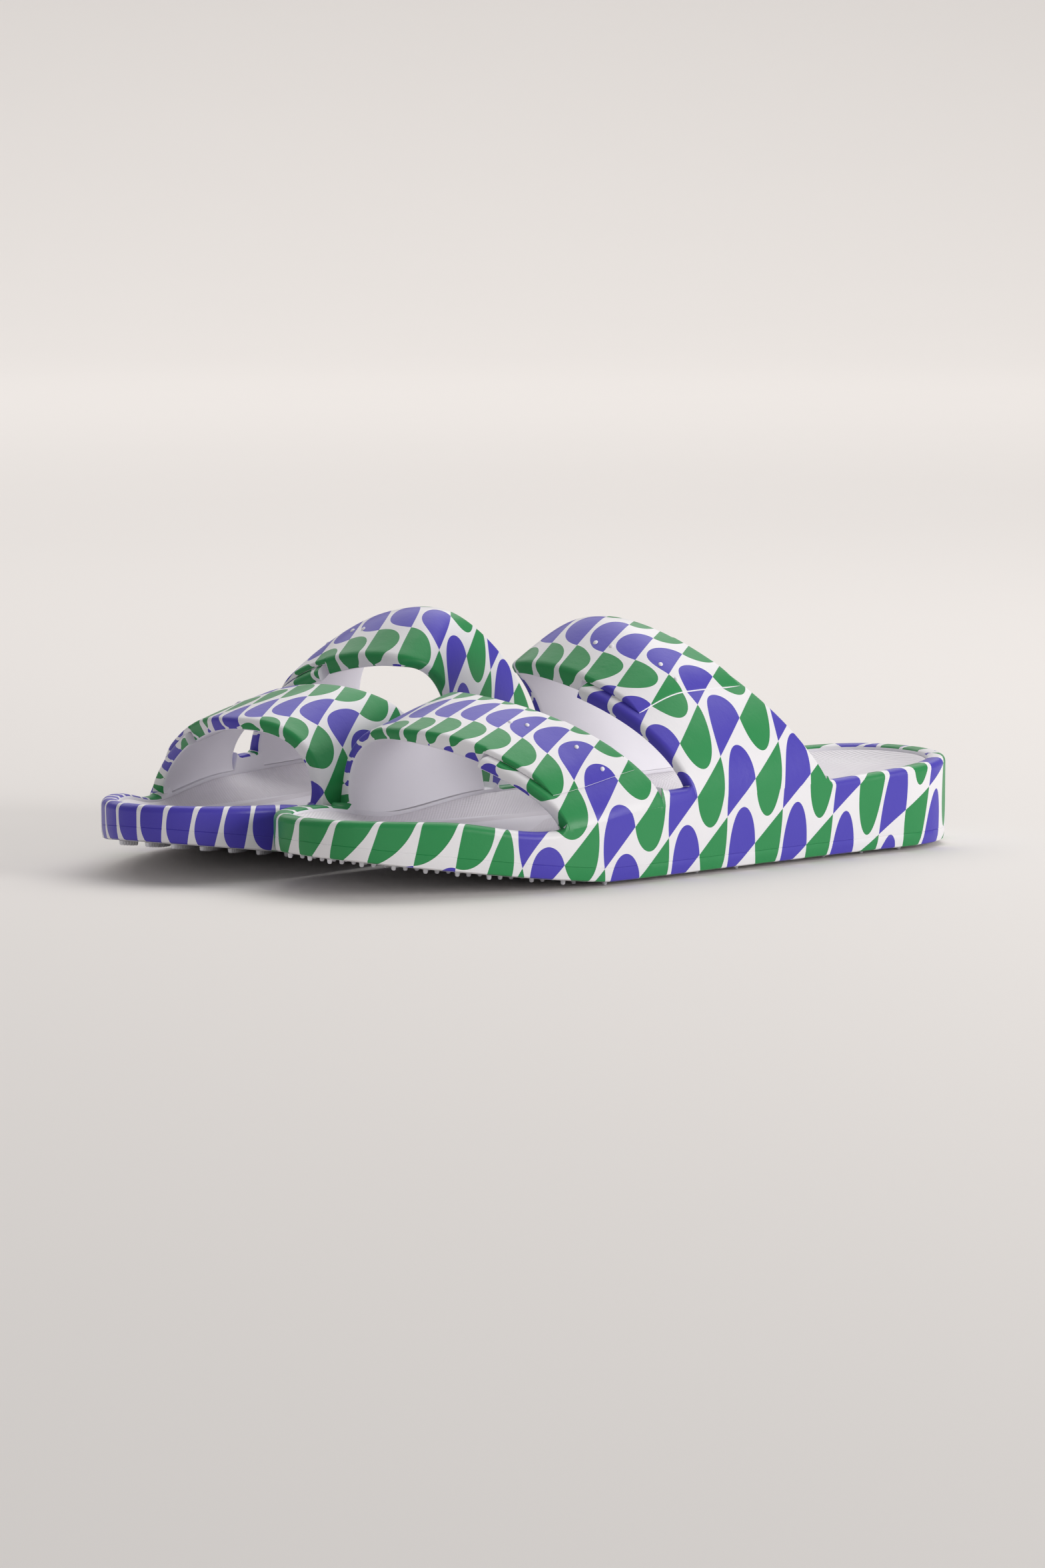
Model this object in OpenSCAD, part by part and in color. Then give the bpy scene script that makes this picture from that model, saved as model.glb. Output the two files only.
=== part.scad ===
// Pair of moulded slide sandals with two straps. Toes point to -Y, the left slide is on +X,
// and the floor is Z = 0. Each slide is drawn at its own centre, with +X to its outer side.

/* [Sole outline] */
// Length from heel to toe
sole_length = 265; // [220:1:320]
// Half width of the heel, each side of the centre line
heel_half = 37; // [30:0.5:45]
// Half width of the waist on the outer side
waist_outer = 41; // [32:0.5:48]
// Half width of the waist on the inner side
waist_inner = 37; // [30:0.5:45]
// Half width of the ball on the outer side
ball_outer = 46; // [38:0.5:57]
// Half width of the ball on the inner side
ball_inner = 42.5; // [35:0.5:52]
// Half width at the toes on the outer side
toe_outer = 41; // [34:0.5:48]
// Half width at the toes on the inner side
toe_inner = 38; // [32:0.5:48]
// Length of the rounded heel end
heel_round = 40; // [30:1:50]
// Length of the rounded toe end on the outer side
toe_round_outer = 75; // [60:1:90]
// Length of the rounded toe end on the inner side
toe_round_inner = 47; // [38:1:60]

/* [Sole height] */
// Height of the rim at the heel
heel_rim = 30.5; // [26:0.5:38]
// Height of the rim at the waist
waist_rim = 25; // [21:0.5:30]
// Height of the rim at the ball
ball_rim = 19; // [17:0.5:24]
// Height of the rim at the toe tip
toe_rim = 24.5; // [23:0.5:30]
// How far the toe tip is lifted
toe_spring = 11.5; // [6:0.5:12]
// Thickness of the outsole plate
outsole_t = 4.5; // [3:0.5:5.5]
// Width of the rim
rim_w = 6; // [5:0.5:8]
// How far the footbed lies under the rim
footbed_drop = 3.5; // [2:0.5:4]
// Thickness of the footbed
footbed_t = 2.5; // [2:0.5:3]

/* [Studs] */
// Height of a stud
stud_h = 1.5; // [1:0.1:2]
// Radius of a stud
stud_r = 1.2; // [0.8:0.1:1.5]
// Distance between rows of studs
stud_pitch = 10; // [7:0.5:14]
// Distance from the outermost studs to the edge
stud_margin = 5; // [4:0.5:8]

/* [Straps] */
// Thickness of the strap bands
strap_t = 4; // [3:0.1:5]
// Thickness of the lap where the inner band lies on the outer band
lap_t = 2; // [1.2:0.1:3]
// How far the outer band stands out beyond the edge of the lap
lap_margin = 3; // [2:0.5:5]
// Height of the ridge line at the front of the toe strap
toe_arch_front = 47; // [40:0.5:56]
// Height of the ridge line at the back of the toe strap
toe_arch_back = 60; // [50:0.5:70]
// Height of the ridge line along the instep strap
instep_arch = 79; // [68:0.5:90]
// Width of the toe strap at its outer foot
toe_strap_foot = 40; // [32:1:48]
// Width of the toe strap on top
toe_strap_top = 42; // [34:1:50]
// Width of the toe strap at its inner foot
toe_strap_inner_foot = 64; // [50:1:70]
// Width of the instep strap at its outer foot
instep_strap_foot = 62; // [50:1:72]
// Width of the instep strap on top
instep_strap_top = 40; // [32:1:48]
// Width of the instep strap at its inner foot
instep_strap_inner_foot = 58; // [46:1:68]

/* [Pair] */
// Clear space left between the two slides
pair_gap = 1.7; // [0.5:0.1:60]
// How far each toe is turned inwards, in degrees
toe_in = 9.5; // [0:0.5:12]
// How far the left slide stands behind the right one
stagger = 6; // [0:0.5:30]

/* [Hidden] */

// Clearance between layers that lie on each other
layer_gap = 0.2;
// Steps from heel to toe in the outline and in the side view
outline_steps = 44;
// Tall enough to cut through the whole slide
cut_h = 150;
white_print = "#dfdde8";
inner_white = "#d7d4da";
outsole_white = "#e6e6e6";
studs_fn = 14;

// Stations along the foot, as shares of its length
wide_at = [0, 0.17, 0.415, 0.68, 0.85, 1];
rim_at = [0, 0.226, 0.415, 0.604, 0.755, 0.887, 1];
spring_from = 0.66;
spring_power = 1.15;
heel_power = 2.3;
toe_power_outer = 2.2;
toe_power_inner = 2.2;

// Where the strap edges meet the rim and the ridge line, as shares of the length
toe_front_outer = 0.726;
toe_front_top = 0.837;
toe_front_inner = 0.832;
instep_front_outer = 0.518;
instep_front_top = 0.593;
instep_front_inner = 0.51;
// How late a strap edge turns forward on its way up
toe_edge_power = 2;
instep_edge_power = 1.4;

// Ridge line of the vamp, from the back to the front
ridge_at = [0.32, 0.472, 0.604, 0.736, 0.85];
ridge_z = [instep_arch, instep_arch, toe_arch_back + 3, toe_arch_back - 4.5, toe_arch_front];
// How far the ridge line lies on the inner side of the centre line
ridge_side_at = [0.34, 0.566, 0.81];
ridge_side = [-16, -23, -8];
// Roundness of the vamp's outer and inner flanks at the instep and at the toes: 2 is an ellipse
flank_at = [0.45, 0.68];
flank_outer = [1.7, 1.5];
flank_inner = [3, 2.5];

// Angles round the vamp: 0 at the outer rim, 90 on the ridge, 180 at the inner rim
toe_lap_joint = 50;
toe_lap_end = 24;
instep_lap_joint = 62;
instep_lap_end = 38;
joint_clear = 1;

// ---- Interpolation ----

function piece(xs, x, i = 0) = i >= len(xs) - 2 || x < xs[i + 1] ? i : piece(xs, x, i + 1);

function rise(xs, ys, i) = (ys[i + 1] - ys[i]) / (xs[i + 1] - xs[i]);

function slope(xs, ys, i) =
    i == 0 ? rise(xs, ys, 0)
    : i == len(xs) - 1 ? rise(xs, ys, i - 1)
    : let(a = rise(xs, ys, i - 1), b = rise(xs, ys, i)) a * b <= 0 ? 0 : 2 * a * b / (a + b);

// Smooth curve through the points (xs, ys), with no overshoot
function curve(xs, ys, x) =
    let(
        i = piece(xs, x),
        h = xs[i + 1] - xs[i],
        t = min(1, max(0, (x - xs[i]) / h)),
        m0 = slope(xs, ys, i) * h,
        m1 = slope(xs, ys, i + 1) * h
    )
    ys[i] * (2 * t * t * t - 3 * t * t + 1) + m0 * (t * t * t - 2 * t * t + t)
    + ys[i + 1] * (3 * t * t - 2 * t * t * t) + m1 * (t * t * t - t * t);

// ---- Sole shape: u runs from the heel, v to the outer side ----

function round_end(distance, reach, power) =
    distance >= reach ? 1
    : let(a = 1 - max(0, distance) / reach) pow(1 - pow(a, power), 1 / power);

function half_outer(u) =
    curve(wide_at, [heel_half, heel_half, waist_outer, ball_outer, toe_outer, toe_outer - 4],
          u / sole_length)
    * round_end(u, heel_round, heel_power)
    * round_end(sole_length - u, toe_round_outer, toe_power_outer);

function half_inner(u) =
    curve(wide_at, [heel_half, heel_half, waist_inner, ball_inner, toe_inner, toe_inner - 2],
          u / sole_length)
    * round_end(u, heel_round, heel_power)
    * round_end(sole_length - u, toe_round_inner, toe_power_inner);

function rim_z(u) =
    curve(rim_at,
          [heel_rim, (heel_rim + waist_rim) / 2 - 1, waist_rim, (waist_rim + ball_rim) / 2 + 1.5,
           ball_rim, toe_rim - 1, toe_rim],
          u / sole_length);

function plate_z(u) =
    stud_h + toe_spring
    * pow(max(0, u / sole_length - spring_from) / (1 - spring_from), spring_power);

// Stations that crowd towards both ends, where the outline turns
function station(i) = sole_length / 2 * (1 - cos(180 * i / outline_steps));

function place_point(u, v, z) = [v, sole_length / 2 - u, z];

// Plan outline, moved in by a margin
function outline(margin = 0) =
    let(squeeze = (sole_length - 2 * margin) / sole_length)
    [
        for (i = [0 : 2 * outline_steps - 1])
            let(
                side = i <= outline_steps ? 1 : -1,
                u = station(i <= outline_steps ? i : 2 * outline_steps - i),
                half = side > 0 ? half_outer(u) : half_inner(u),
                full = side > 0 ? ball_outer : ball_inner
            )
            [side * half * (full - margin) / full, (sole_length / 2 - u) * squeeze]
    ];

// Side view between two heights, for cutting the plan
module side_band(low, high) {
    rotate([90, 0, 90])
        linear_extrude(height = 4 * ball_outer, center = true)
            polygon(concat(
                [for (p = low) [p[0], p[1]]],
                [for (i = [len(high) - 1 : -1 : 0]) high[i]]
            ));
}

function level(f_z) = [for (i = [0 : outline_steps]) [sole_length / 2 - station(i), f_z[i]]];
plate_low = [for (i = [0 : outline_steps]) plate_z(station(i))];
rim_high = [for (i = [0 : outline_steps]) rim_z(station(i))];

module slab(margin, low, high) {
    intersection() {
        linear_extrude(height = cut_h) polygon(outline(margin));
        side_band(level(low), level(high));
    }
}

function raised(zs, by) = [for (z = zs) z + by];

// ---- Sole pieces ----

stud_rows = floor(sole_length / (stud_pitch * sin(60)));

module studs() {
    for (row = [1 : stud_rows]) {
        u = row * stud_pitch * sin(60);
        shift = row % 2 == 0 ? 0 : stud_pitch / 2;
        for (k = [-ceil(ball_inner / stud_pitch) : ceil(ball_outer / stud_pitch)]) {
            v = k * stud_pitch + shift;
            if (v < half_outer(u) - stud_margin && v > -half_inner(u) + stud_margin
                && u > stud_margin && u < sole_length - stud_margin)
                translate(place_point(u, v, plate_z(u) - stud_h))
                    cylinder(h = stud_h + 1, r = stud_r, $fn = studs_fn);
        }
    }
}

module outsole() {
    color(outsole_white) {
        union() {
            slab(0, plate_low, raised(plate_low, outsole_t));
            studs();
        }
    }
}

module midsole() {
    color(white_print)
        difference() {
            slab(0, raised(plate_low, outsole_t + layer_gap), rim_high);
            slab(rim_w, raised(rim_high, -footbed_drop - footbed_t - layer_gap),
                 raised(rim_high, 10));
        }
}

module footbed() {
    color(inner_white)
        slab(rim_w + layer_gap, raised(rim_high, -footbed_drop - footbed_t),
             raised(rim_high, -footbed_drop));
}

// ---- Straps ----

function ridge_height(u) = curve(ridge_at, ridge_z, u / sole_length);
function ridge_v(u) = curve(ridge_side_at, ridge_side, u / sole_length);

// Point of the vamp in the plane across the foot at u, as [v, z]
function flank(u, a) =
    let(
        outer = a <= 90,
        e = 2 / curve(flank_at, outer ? flank_outer : flank_inner, u / sole_length),
        foot = outer ? half_outer(u) : -half_inner(u),
        side = pow(abs(cos(a)), e),
        up = pow(max(0, sin(a)), e),
        top = ridge_height(u),
        low = rim_z(u) + layer_gap
    )
    [ridge_v(u) + (foot - ridge_v(u)) * side, low + (top - low) * up];

// The same point moved out of the surface by d, and never down into the rim
function vamp(u, a, d) =
    let(
        p = flank(u, a),
        b = flank(u, min(180, a + 2)),
        c = flank(u, max(0, a - 2)),
        t = (b - c) / norm(b - c),
        feet = a <= 0.01 ? [1, 0] : a >= 179.99 ? [-1, 0] : [t[1], -t[0]],
        q = p + d * feet
    )
    place_point(u, q[0], max(q[1], rim_z(u) + layer_gap));

function edge_u(foot_outer, top, foot_inner, power, a) =
    let(foot = a <= 90 ? foot_outer : foot_inner) foot + (top - foot) * pow(max(0, sin(a)), power);

function toe_front(a) =
    edge_u(toe_front_outer * sole_length, toe_front_top * sole_length,
           toe_front_inner * sole_length, toe_edge_power, a);
function toe_back(a) =
    edge_u(toe_front_outer * sole_length - toe_strap_foot,
           toe_front_top * sole_length - toe_strap_top,
           toe_front_inner * sole_length - toe_strap_inner_foot, toe_edge_power, a);
function instep_front(a) =
    edge_u(instep_front_outer * sole_length, instep_front_top * sole_length,
           instep_front_inner * sole_length, instep_edge_power, a);
function instep_back(a) =
    edge_u(instep_front_outer * sole_length - instep_strap_foot,
           instep_front_top * sole_length - instep_strap_top,
           instep_front_inner * sole_length - instep_strap_inner_foot, instep_edge_power, a);

// Closed solid between an outer and an inner grid of points
module shell(outer, inner) {
    rows = len(outer);
    cols = len(outer[0]);
    last = rows * cols;
    function at(i, j, side) = side * last + i * cols + j;
    polyhedron(
        points = concat([for (r = outer) each r], [for (r = inner) each r]),
        faces = concat(
            [for (i = [0 : rows - 2]) for (j = [0 : cols - 2])
                each [[at(i, j, 0), at(i, j + 1, 0), at(i + 1, j + 1, 0)],
                      [at(i, j, 0), at(i + 1, j + 1, 0), at(i + 1, j, 0)]]],
            [for (i = [0 : rows - 2]) for (j = [0 : cols - 2])
                each [[at(i, j, 1), at(i + 1, j + 1, 1), at(i, j + 1, 1)],
                      [at(i, j, 1), at(i + 1, j, 1), at(i + 1, j + 1, 1)]]],
            [for (i = [0 : rows - 2])
                each [[at(i, 0, 0), at(i + 1, 0, 0), at(i + 1, 0, 1)],
                      [at(i, 0, 0), at(i + 1, 0, 1), at(i, 0, 1)],
                      [at(i, cols - 1, 0), at(i + 1, cols - 1, 1), at(i + 1, cols - 1, 0)],
                      [at(i, cols - 1, 0), at(i, cols - 1, 1), at(i + 1, cols - 1, 1)]]],
            [for (j = [0 : cols - 2])
                each [[at(0, j, 0), at(0, j, 1), at(0, j + 1, 1)],
                      [at(0, j, 0), at(0, j + 1, 1), at(0, j + 1, 0)],
                      [at(rows - 1, j, 0), at(rows - 1, j + 1, 1), at(rows - 1, j, 1)],
                      [at(rows - 1, j, 0), at(rows - 1, j + 1, 0), at(rows - 1, j + 1, 1)]]]
        )
    );
}

across = 8;

// One grid of points: angles down the rows, front to back along the columns
function band_grid(front, back, angles, depths) =
    [for (i = [0 : len(angles) - 1])
        [for (j = [0 : across])
            vamp(front[i] + (back[i] - front[i]) * j / across, angles[i], depths[i])]];

// Angles of the lower band, from the outer rim up to the lap joint
function lower_angles(joint) =
    concat([0, 2], [for (a = [6 : 6 : joint - 4]) a], [joint - joint_clear / 2]);

// Angles of the upper band, from the inner rim over the ridge to the end of the lap
function upper_angles(joint, end) =
    concat([180, 178], [for (a = [174 : -6 : joint + 4]) a],
           [joint + 2 * joint_clear, joint + joint_clear],
           [for (a = [joint - 5 : -6 : end + 3]) a], [end]);

// The upper band thickens from nothing to the lap as it nears the joint
function lap_rise(a, joint) =
    let(t = min(1, max(0, (joint + 40 - a) / 40))) lap_t * t * t * (3 - 2 * t);

module lower_band(front, back, angles) {
    color(white_print)
        shell(band_grid(front, back, angles, [for (a = angles) 0]),
              band_grid(front, back, angles, [for (a = angles) -strap_t]));
}

module upper_band(front, back, angles, joint) {
    end = angles[len(angles) - 1];
    color(white_print)
        shell(band_grid(raised(back, lap_margin), raised(front, -lap_margin), angles,
                        [for (a = angles) a == end ? lap_t / 2 : lap_rise(a, joint)]),
              band_grid(raised(back, lap_margin), raised(front, -lap_margin), angles,
                        [for (a = angles) a > joint + 1.5 * joint_clear ? -strap_t
                                          : layer_gap]));
}

module toe_strap_outer_band() {
    angles = lower_angles(toe_lap_joint);
    lower_band([for (a = angles) toe_front(a)], [for (a = angles) toe_back(a)], angles);
}

module toe_strap_inner_band() {
    angles = upper_angles(toe_lap_joint, toe_lap_end);
    upper_band([for (a = angles) toe_front(a)], [for (a = angles) toe_back(a)], angles,
               toe_lap_joint);
}

module instep_strap_outer_band() {
    angles = lower_angles(instep_lap_joint);
    lower_band([for (a = angles) instep_front(a)], [for (a = angles) instep_back(a)], angles);
}

module instep_strap_inner_band() {
    angles = upper_angles(instep_lap_joint, instep_lap_end);
    upper_band([for (a = angles) instep_front(a)], [for (a = angles) instep_back(a)], angles,
               instep_lap_joint);
}

// ---- The pair ----

// The outline of a slide after its turn
turned = [for (p = outline()) [p[0] * cos(toe_in) + p[1] * sin(toe_in),
                               -p[0] * sin(toe_in) + p[1] * cos(toe_in)]];
// From the middle of the pair to the middle of a slide: the pair gap stays clear between them
pair_half = pair_gap / 2 - min([for (p = turned) p[0]]);
// Middle of a turned slide from front to back, which the pair is centred on
middle_y = (min([for (p = turned) p[1]]) + max([for (p = turned) p[1]])) / 2;

module left() {
    translate([pair_half, stagger / 2 - middle_y, 0]) rotate([0, 0, -toe_in]) children();
}

module right() {
    translate([-pair_half, -stagger / 2 - middle_y, 0])
        mirror([1, 0, 0]) rotate([0, 0, -toe_in]) children();
}

left() outsole();  // left_outsole
left() midsole();  // left_midsole
left() footbed();  // left_footbed
left() toe_strap_outer_band();  // left_toe_strap_outer_band
left() toe_strap_inner_band();  // left_toe_strap_inner_band
left() instep_strap_outer_band();  // left_instep_strap_outer_band
left() instep_strap_inner_band();  // left_instep_strap_inner_band
right() outsole();  // right_outsole
right() midsole();  // right_midsole
right() footbed();  // right_footbed
right() toe_strap_outer_band();  // right_toe_strap_outer_band
right() toe_strap_inner_band();  // right_toe_strap_inner_band
right() instep_strap_outer_band();  // right_instep_strap_outer_band
right() instep_strap_inner_band();  // right_instep_strap_inner_band
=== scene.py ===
"""A pair of moulded slide sandals with two straps, printed all over with a plain drop repeat.

Every length below is in millimetres, as in the CAD model, and is scaled to metres when a mesh
is made. On a slide, u runs from the heel to the toes, v to the outer side and z up.
"""

import math

import bmesh
import bpy
import numpy as np
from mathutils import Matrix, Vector


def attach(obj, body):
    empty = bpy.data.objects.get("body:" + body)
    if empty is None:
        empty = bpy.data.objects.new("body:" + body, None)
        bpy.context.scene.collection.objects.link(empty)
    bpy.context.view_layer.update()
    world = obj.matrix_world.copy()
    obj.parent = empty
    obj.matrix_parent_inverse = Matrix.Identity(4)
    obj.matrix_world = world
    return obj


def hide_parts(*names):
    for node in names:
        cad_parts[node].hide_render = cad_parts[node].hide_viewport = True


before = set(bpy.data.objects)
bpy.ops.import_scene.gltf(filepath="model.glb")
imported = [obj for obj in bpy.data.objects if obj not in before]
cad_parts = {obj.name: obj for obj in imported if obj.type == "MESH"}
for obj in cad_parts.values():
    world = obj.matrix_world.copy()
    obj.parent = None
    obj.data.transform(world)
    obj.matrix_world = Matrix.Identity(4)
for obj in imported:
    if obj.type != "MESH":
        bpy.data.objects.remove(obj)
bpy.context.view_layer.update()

MM = 0.001
SIDES = ("left", "right")

# ---- Sizes shared with the CAD model ----

SOLE_LENGTH = 265
HEEL_HALF = 37
WAIST_OUTER, WAIST_INNER = 41, 37
BALL_OUTER, BALL_INNER = 46, 42.5
TOE_OUTER, TOE_INNER = 41, 38
HEEL_ROUND, TOE_ROUND_OUTER, TOE_ROUND_INNER = 40, 75, 47
HEEL_RIM, WAIST_RIM, BALL_RIM, TOE_RIM = 30.5, 25, 19, 24.5
TOE_SPRING = 11.5
OUTSOLE_T = 4.5
RIM_W = 6
FOOTBED_DROP, FOOTBED_T = 3.5, 2.5
STUD_H, STUD_R, STUD_PITCH, STUD_MARGIN = 1.5, 1.2, 10, 5
STRAP_T, LAP_T, LAP_MARGIN = 4, 2, 3
TOE_ARCH_FRONT, TOE_ARCH_BACK, INSTEP_ARCH = 47, 60, 79
PAIR_GAP, TOE_IN, STAGGER = 1.7, 9.5, 6

WIDE_AT = [0, 0.17, 0.415, 0.68, 0.85, 1]
WIDE_OUTER = [HEEL_HALF, HEEL_HALF, WAIST_OUTER, BALL_OUTER, TOE_OUTER, TOE_OUTER - 4]
WIDE_INNER = [HEEL_HALF, HEEL_HALF, WAIST_INNER, BALL_INNER, TOE_INNER, TOE_INNER - 2]
RIM_AT = [0, 0.226, 0.415, 0.604, 0.755, 0.887, 1]
RIM_HEIGHTS = [HEEL_RIM, (HEEL_RIM + WAIST_RIM) / 2 - 1, WAIST_RIM,
               (WAIST_RIM + BALL_RIM) / 2 + 1.5, BALL_RIM, TOE_RIM - 1, TOE_RIM]
SPRING_FROM, SPRING_POWER = 0.66, 1.15
HEEL_POWER, TOE_POWER = 2.3, 2.2
RIDGE_AT = [0.32, 0.472, 0.604, 0.736, 0.85]
RIDGE_HEIGHTS = [INSTEP_ARCH, INSTEP_ARCH, TOE_ARCH_BACK + 3, TOE_ARCH_BACK - 4.5,
                 TOE_ARCH_FRONT]
RIDGE_SIDE_AT = [0.34, 0.566, 0.81]
RIDGE_SIDE = [-16, -23, -8]
FLANK_AT = [0.45, 0.68]
FLANK_OUTER = [1.7, 1.5]
FLANK_INNER = [3, 2.5]

# Each strap: where its front edge crosses the outer rim, the ridge and the inner rim, its
# width at the same three places, how late its edges turn forward on their way up, the angles
# at which the two bands meet and at which the lap over the outer band ends, and how the print
# closes up over the top: from which height, over what length and by how much, and by how
# much of a drop it shifts there. Pips are the small unprinted pegs, each by its place along
# the slide and its angle
STRAPS = {
    "toe": {"front": (0.726, 0.837, 0.832), "width": (40, 42, 64), "turn": 2,
            "joint": 48, "end": 23, "squeeze": (34, 26, 0.95),
            "shift": {"left": 0, "right": 0},
            "pips": ((189, 57), (185, 53), (176, 38), (172, 27))},
    "instep": {"front": (0.518, 0.593, 0.51), "width": (62, 40, 58), "turn": 1.4,
               "joint": 61, "end": 41, "squeeze": (52, 40, 0.75),
               "shift": {"left": 0.5, "right": 0},
               "pips": ((139, 70), (137, 65), (129, 51), (127, 45))},
}

# ---- Interpolation ----


def smooth(low, high, x):
    t = np.clip((x - low) / (high - low), 0, 1)
    return t * t * (3 - 2 * t)


def slopes(xs, ys):
    rises = np.diff(ys) / np.diff(xs)
    inner = [0 if a * b <= 0 else 2 * a * b / (a + b) for a, b in zip(rises, rises[1:])]
    return np.array([rises[0], *inner, rises[-1]])


def curve(xs, ys, x):
    """The same smooth curve through points as in the CAD model."""
    xs = np.array(xs, float)
    ys = np.array(ys, float)
    m = slopes(xs, ys)
    i = np.clip(np.searchsorted(xs, x, side="right") - 1, 0, len(xs) - 2)
    h = xs[i + 1] - xs[i]
    t = np.clip((x - xs[i]) / h, 0, 1)
    ends = ys[i] * (2 * t**3 - 3 * t**2 + 1) + ys[i + 1] * (3 * t**2 - 2 * t**3)
    return ends + m[i] * h * (t**3 - 2 * t**2 + t) + m[i + 1] * h * (t**3 - t**2)


# ---- The shape of one slide ----


def round_end(distance, reach, power):
    a = 1 - np.clip(distance / reach, 0, 1)
    return (1 - a**power) ** (1 / power)


def half_width(u, side):
    share = u / SOLE_LENGTH
    wide = np.where(side > 0, curve(WIDE_AT, WIDE_OUTER, share),
                    curve(WIDE_AT, WIDE_INNER, share))
    toe_round = np.where(side > 0, TOE_ROUND_OUTER, TOE_ROUND_INNER)
    heel = round_end(u, HEEL_ROUND, HEEL_POWER)
    return wide * heel * round_end(SOLE_LENGTH - u, toe_round, TOE_POWER)


def rim_z(u):
    return curve(RIM_AT, RIM_HEIGHTS, u / SOLE_LENGTH)


def plate_z(u):
    lift = np.clip(u / SOLE_LENGTH - SPRING_FROM, 0, None) / (1 - SPRING_FROM)
    return STUD_H + TOE_SPRING * lift**SPRING_POWER


def flank(u, a):
    """Point of the straps' outer face at u: 0 is the outer rim, 90 the ridge, 180 the inner rim."""
    u, a = np.broadcast_arrays(u, a)
    share = u / SOLE_LENGTH
    outer = a <= 90
    power = 2 / np.where(outer, curve(FLANK_AT, FLANK_OUTER, share),
                         curve(FLANK_AT, FLANK_INNER, share))
    foot = np.where(outer, half_width(u, 1), -half_width(u, -1))
    ridge = curve(RIDGE_SIDE_AT, RIDGE_SIDE, share)
    angle = np.radians(a)
    across = np.abs(np.cos(angle)) ** power
    up = np.clip(np.sin(angle), 0, 1) ** power
    low = rim_z(u)
    top = curve(RIDGE_AT, RIDGE_HEIGHTS, share)
    return ridge + (foot - ridge) * across, low + (top - low) * up


def vamp(u, a, depth):
    """The same point moved out of the face by depth, as (v, z)."""
    v, z = flank(u, a)
    v1, z1 = flank(u, np.clip(a + 0.7, 0, 180))
    v0, z0 = flank(u, np.clip(a - 0.7, 0, 180))
    length = np.hypot(v1 - v0, z1 - z0)
    out_v = v + depth * (z1 - z0) / length
    out_z = z - depth * (v1 - v0) / length
    return out_v, np.maximum(out_z, rim_z(u))


def climb(u, a, start):
    """Length of the face's section at u between the rim at start and the angle a."""
    steps = np.linspace(0, 1, 33)
    angles = start + (np.asarray(a)[..., None] - start) * steps**1.6
    v, z = flank(np.asarray(u)[..., None], angles)
    return np.hypot(np.diff(v), np.diff(z)).sum(-1)


def edge(strap, a, back):
    shares = np.array(strap["front"]) * SOLE_LENGTH
    feet = shares - np.array(strap["width"]) * back
    foot = np.where(a <= 90, feet[0], feet[2])
    return foot + (feet[1] - foot) * np.clip(np.sin(np.radians(a)), 0, 1) ** strap["turn"]


# ---- Where the two slides stand ----


def turn(x, y):
    angle = math.radians(TOE_IN)
    return x * math.cos(angle) + y * math.sin(angle), y * math.cos(angle) - x * math.sin(angle)


def stations(count):
    return SOLE_LENGTH / 2 * (1 - np.cos(np.pi * np.arange(count + 1) / count))


def outline(count, margin):
    """Closed plan outline moved in by a margin, as (u, v), and the side each point is on."""
    there = stations(count)
    u = np.concatenate([there, there[-2:0:-1]])
    side = np.where(np.arange(2 * count) <= count, 1, -1)
    full = np.where(side > 0, BALL_OUTER, BALL_INNER)
    v = side * half_width(u, side) * (full - margin) / full
    squeeze = (SOLE_LENGTH - 2 * margin) / SOLE_LENGTH
    return SOLE_LENGTH / 2 - (SOLE_LENGTH / 2 - u) * squeeze, v, side


def pair_places():
    u, v, _ = outline(44, 0)
    x, y = turn(v, SOLE_LENGTH / 2 - u)
    return PAIR_GAP / 2 - x.min(), (y.min() + y.max()) / 2


PAIR_HALF, MIDDLE_Y = pair_places()


def place(name, u, v, z):
    """Slide coordinates to the shared frame, in metres."""
    x, y = turn(v, SOLE_LENGTH / 2 - u)
    hand = 1 if name == "left" else -1
    points = np.stack(np.broadcast_arrays(
        hand * (PAIR_HALF + x), y - MIDDLE_Y + hand * STAGGER / 2, z), -1)
    return points * MM


# ---- The print: a plain repeat of drops in slanting rows ----

# Rows and drops counted along the side that faces the camera, around this place
FILM_U, FILM_Z = 120, 20
DROPS = (1.1, 3.7, 0.45, -0.2)
ROWS = (0.95, 4.2, -1.05, 0.2)
DROP_SHARE, DROP_LEAN = 0.84, 0.34
TOE_STARTS, TOE_TURNED, TOE_LEAVES, TOE_ENDS = 200, 238, 330, 365
WALL_LENGTH, WALL_STEPS = 700, 1200
DROP_PER_MM_AT_TOE, DROP_AT_TOE = 0.02, {"left": 0.72, "right": 0.74}
ROW_LEAN_FROM, ROW_LEAN_AT_TOE = (238, 262, 290, 315), (-0.012, -0.028, 0.004, 0.016)
FILM_PHASE = {"left": (0, 0), "right": (0.5, 0.35)}
ROW_AT_TOE = {"left": 13.5, "right": 9.5}


def film_side(u, h):
    """(drop count, row count) on the side: u from the heel, h up the face from the ground."""
    x = (FILM_U - u) / 100
    y = (h - FILM_Z) / 20
    drops = DROPS[0] + DROPS[1] * x + DROPS[2] * x * x + DROPS[3] * x * y
    rows = ROWS[0] + ROWS[1] * x + ROWS[2] * x * x + ROWS[3] * x * y - y
    return drops, rows


def squeezed(strap, h):
    """Height as the print counts it, which gains on the real one over a strap's top."""
    start, reach, gain = strap["squeeze"]
    over = np.clip(h - start, 0, None)
    inside = np.minimum(over, reach)
    return h + gain * (inside**2 / (2 * reach) + over - inside)


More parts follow.
